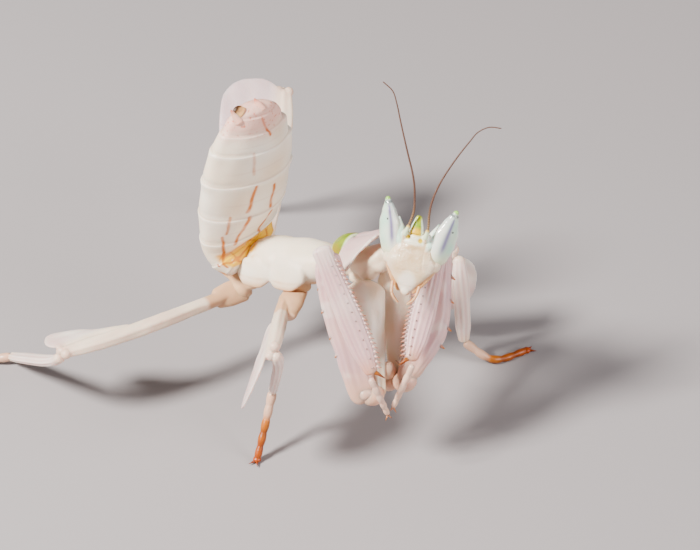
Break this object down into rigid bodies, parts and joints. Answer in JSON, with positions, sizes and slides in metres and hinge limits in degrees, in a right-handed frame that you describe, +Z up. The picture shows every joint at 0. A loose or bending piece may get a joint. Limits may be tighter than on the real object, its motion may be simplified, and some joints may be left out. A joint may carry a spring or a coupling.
{
  "type": "orchid mantis model",
  "caption": "Life-size still model of a pale petal-legged mantis nymph, standing with raised abdomen, folded grasping forelegs and head turned to its right.",
  "frame": {"origin": "on the floor, under the middle of the bounding box", "axes": "+Z up, -Y is the way the body faces, +X is the animal's left side"},
  "size_m": [0.0382, 0.0506, 0.036],
  "materials": {
    "shell": "satin",
    "limb": "satin",
    "green": "satin",
    "eye": "gloss",
    "tarsus": "satin",
    "feeler": "satin"
  },
  "bodies": {
    "root": {"metathorax": "shell", "mesothorax": "shell", "forewing_pad_right": "shell", "hindwing_pad_right": "shell", "forewing_pad_left": "shell", "hindwing_pad_left": "shell", "prothorax": "shell", "pronotum_shield": "limb", "pronotum_collar": "green", "abdomen_1": "shell", "abdomen_2": "shell", "abdomen_3": "shell", "abdomen_4": "shell", "abdomen_5": "shell", "abdomen_6": "shell", "abdomen_7": "shell", "abdomen_tip": "limb", "cercus_right": "limb", "cercus_left": "limb", "cervix": "shell", "head": "shell", "eye_right": "eye", "eye_left": "eye", "vertex_horn": "green", "palp_right": "tarsus", "palp_left": "tarsus", "antenna_right": "feeler", "antenna_left": "feeler", "coxa_fore_right": "shell", "femur_fore_right": "limb", "tarsus_fore_right": "tarsus", "tibia_fore_right": "limb", "coxa_fore_left": "shell", "femur_fore_left": "limb", "tarsus_fore_left": "tarsus", "tibia_fore_left": "limb", "coxa_mid_right": "shell", "femur_mid_right": "limb", "tibia_mid_right": "limb", "tarsus_mid_right": "tarsus", "coxa_mid_left": "shell", "femur_mid_left": "limb", "tibia_mid_left": "limb", "tarsus_mid_left": "tarsus", "coxa_hind_right": "shell", "femur_hind_right": "limb", "tibia_hind_right": "limb", "tarsus_hind_right": "tarsus", "coxa_hind_left": "shell", "femur_hind_left": "limb", "tibia_hind_left": "limb", "tarsus_hind_left": "tarsus"}
  },
  "joints": []
}
